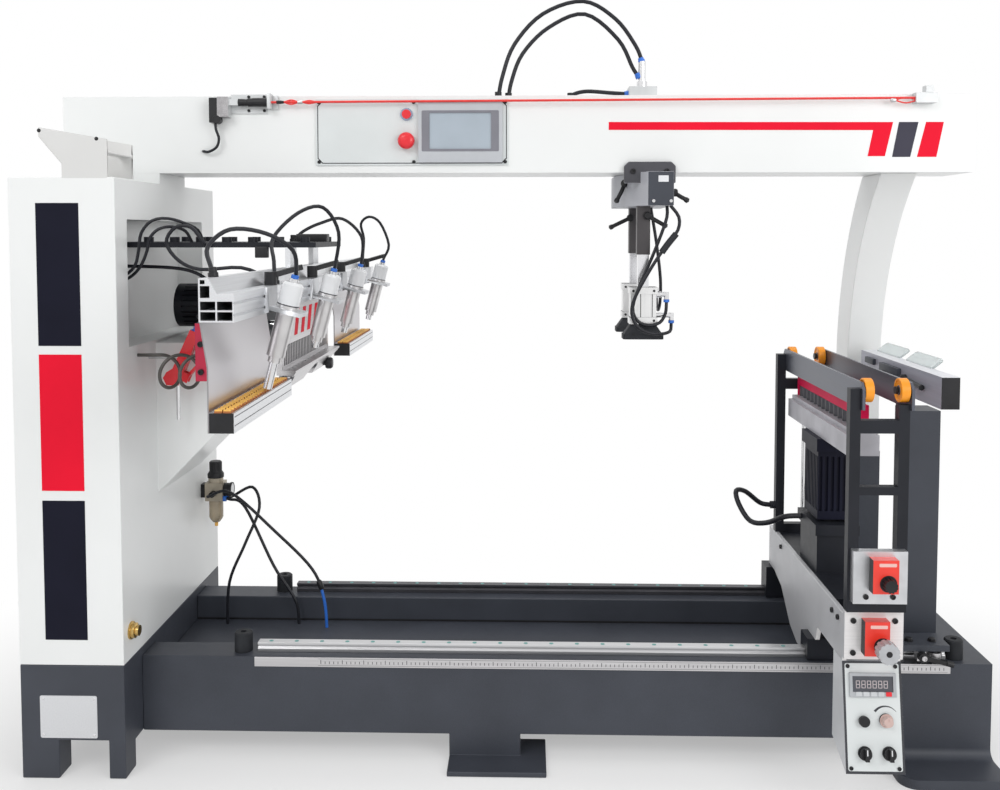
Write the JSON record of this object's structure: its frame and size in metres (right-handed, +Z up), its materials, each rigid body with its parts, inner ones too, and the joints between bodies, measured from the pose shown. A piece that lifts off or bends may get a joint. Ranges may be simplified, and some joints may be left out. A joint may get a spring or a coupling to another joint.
{
  "type": "line boring machine",
  "caption": "Woodworking line boring machine with a horizontal and a vertical boring head, clamping fence, overhead beam with presser, and sliding carriage on a railed bed.",
  "frame": {"origin": "floor level under the middle of the machine's outer box", "axes": "+X along the overhead beam to the carriage side, +Y from the operator's side to the back, +Z up"},
  "size_m": [2.2, 1.5, 1.802],
  "materials": {
    "white_paint": "smooth semi-gloss paint",
    "dark_paint": "satin textured paint",
    "steel": "bright ground steel",
    "alu": "clear anodised",
    "black_metal": "satin black",
    "regulator": "translucent bowl and grey body",
    "black_plastic": "moulded satin black",
    "rubber": "matt black rubber",
    "hose": "smooth black hose",
    "red_plastic": "gloss red",
    "red_paint": "gloss crimson paint",
    "orange_plastic": "moulded orange plastic",
    "counter_red": "gloss orange red"
  },
  "bodies": {
    "frame": {"left_plinth": "dark_paint", "front_bed_beam": "dark_paint", "rear_bed_beam": "dark_paint", "right_plinth": "dark_paint", "column": "white_paint", "overhead_beam": "white_paint", "curved_arm": "white_paint", "right_posts": "dark_paint", "linear_rails": "steel", "bump_stops": "rubber", "control_panel": "white_paint", "beam_fittings": "alu", "fence_beam": "steel", "air_hoses": "hose", "air_regulator": "regulator", "air_gun": "red_plastic", "gun_hose": "hose", "unit_bracket": "black_metal", "head_bracket": "red_paint", "fence_profile": "alu", "back_plates": "steel", "roller_tracks": "alu", "track_rollers": "orange_plastic", "drill_guard": "steel", "clamp_brackets": "alu", "clamp_cylinders": "steel", "clamp_levers": "black_plastic"},
    "stop_button": {"stop_button": "red_plastic"},
    "regulator_knob": {"regulator_knob": "black_plastic"},
    "gun_trigger": {"gun_trigger": "red_plastic"},
    "clamp_rod_front": {"clamp_rod_front": "steel"},
    "clamp_rods_rear": {"clamp_rods_rear": "steel"},
    "left_head": {"left_gearbox": "black_metal", "left_spindles": "steel"},
    "carriage": {"carriage_plates": "steel", "carriage_deck": "dark_paint", "rail_blocks": "steel", "tube_frame": "dark_paint", "support_bars": "steel", "control_box": "white_paint", "position_counters": "counter_red", "carriage_cable": "hose"},
    "wheels_front": {"wheels_front": "orange_plastic"},
    "wheels_rear": {"wheels_rear": "orange_plastic"},
    "selector_left": {"selector_left": "black_plastic"},
    "selector_right": {"selector_right": "black_plastic"},
    "speed_knob": {"speed_knob": "black_plastic"},
    "start_button": {"start_button": "black_plastic"},
    "upper_knob": {"upper_knob": "black_plastic"},
    "lower_handwheel": {"lower_handwheel": "black_plastic"},
    "lock_lever": {"lock_lever": "black_plastic"},
    "right_head": {"right_gearbox": "alu", "right_guide_bar": "red_paint", "right_spindles": "steel", "right_motor": "black_metal"},
    "presser": {"presser_head": "alu", "presser_sleeves": "alu", "presser_hoses": "hose"},
    "presser_posts": {"presser_cylinders": "alu"},
    "press_feet": {"press_feet": "rubber"}
  },
  "joints": [
    {"name": "stop_press", "type": "slide", "parent": "frame", "child": "stop_button", "axis": [0, 1, 0], "range_m": [0, 0.006], "stiffness_N_per_m": 800},
    {"name": "regulator_turn", "type": "hinge", "parent": "frame", "child": "regulator_knob", "pos_m": [-0.827, 0.31, 0.552], "axis": [0, 0, 1], "range_deg": [-360, 360]},
    {"name": "trigger_squeeze", "type": "hinge", "parent": "frame", "child": "gun_trigger", "pos_m": [-0.77509, -0.06, 0.88388], "axis": [0, -1, 0], "range_deg": [0, 12], "stiffness_Nm_per_rad": 0.6},
    {"name": "front_clamp_stroke", "type": "slide", "parent": "frame", "child": "clamp_rod_front", "axis": [-0.2521, 0, -0.9677], "range_m": [-0.037, 0]},
    {"name": "rear_clamp_stroke", "type": "slide", "parent": "frame", "child": "clamp_rods_rear", "axis": [-0.2521, 0, -0.9677], "range_m": [0, 0.037]},
    {"name": "left_head_feed", "type": "slide", "parent": "frame", "child": "left_head", "axis": [1, 0, 0], "range_m": [0, 0.06]},
    {"name": "carriage_slide", "type": "slide", "parent": "frame", "child": "carriage", "axis": [1, 0, 0], "range_m": [-1.05, 0]},
    {"name": "wheels_front_spin", "type": "hinge", "parent": "carriage", "child": "wheels_front", "pos_m": [0.755, -0.334, 0.9], "axis": [1, 0, 0], "continuous": true},
    {"name": "wheels_rear_spin", "type": "hinge", "parent": "carriage", "child": "wheels_rear", "pos_m": [0.755, 0.25, 0.9], "axis": [1, 0, 0], "continuous": true},
    {"name": "selector_left_turn", "type": "hinge", "parent": "carriage", "child": "selector_left", "pos_m": [0.73365, -0.3606, 0.14607], "axis": [0, -0.9842, 0.1773], "range_deg": [-45, 45]},
    {"name": "selector_right_turn", "type": "hinge", "parent": "carriage", "child": "selector_right", "pos_m": [0.78367, -0.3606, 0.14607], "axis": [0, -0.9842, 0.1773], "range_deg": [-45, 45]},
    {"name": "speed_turn", "type": "hinge", "parent": "carriage", "child": "speed_knob", "pos_m": [0.78001, -0.349, 0.21045], "axis": [0, -0.9842, 0.1773], "range_deg": [-135, 135]},
    {"name": "start_press", "type": "slide", "parent": "carriage", "child": "start_button", "axis": [0, 0.9842, -0.1773], "range_m": [0, 0.003], "stiffness_N_per_m": 400},
    {"name": "upper_knob_turn", "type": "hinge", "parent": "carriage", "child": "upper_knob", "pos_m": [0.763, -0.396, 0.515], "axis": [0, -1, 0], "continuous": true},
    {"name": "lower_handwheel_turn", "type": "hinge", "parent": "carriage", "child": "lower_handwheel", "pos_m": [0.765, -0.364, 0.373], "axis": [0, -1, 0], "continuous": true},
    {"name": "lock_swing", "type": "hinge", "parent": "carriage", "child": "lock_lever", "pos_m": [0.932, -0.146, 0.262], "axis": [0, 1, 0], "range_deg": [-30, 70]},
    {"name": "right_head_lift", "type": "slide", "parent": "carriage", "child": "right_head", "axis": [0, 0, 1], "range_m": [0, 0.065]},
    {"name": "presser_slide", "type": "slide", "parent": "frame", "child": "presser", "axis": [1, 0, 0], "range_m": [-0.25, 0.45]},
    {"name": "presser_height", "type": "slide", "parent": "presser", "child": "presser_posts", "axis": [0, 0, -1], "range_m": [-0.06, 0], "deforming": ["presser_hoses"]},
    {"name": "press_stroke", "type": "slide", "parent": "presser_posts", "child": "press_feet", "axis": [0, 0, -1], "range_m": [0, 0.025]}
  ]
}
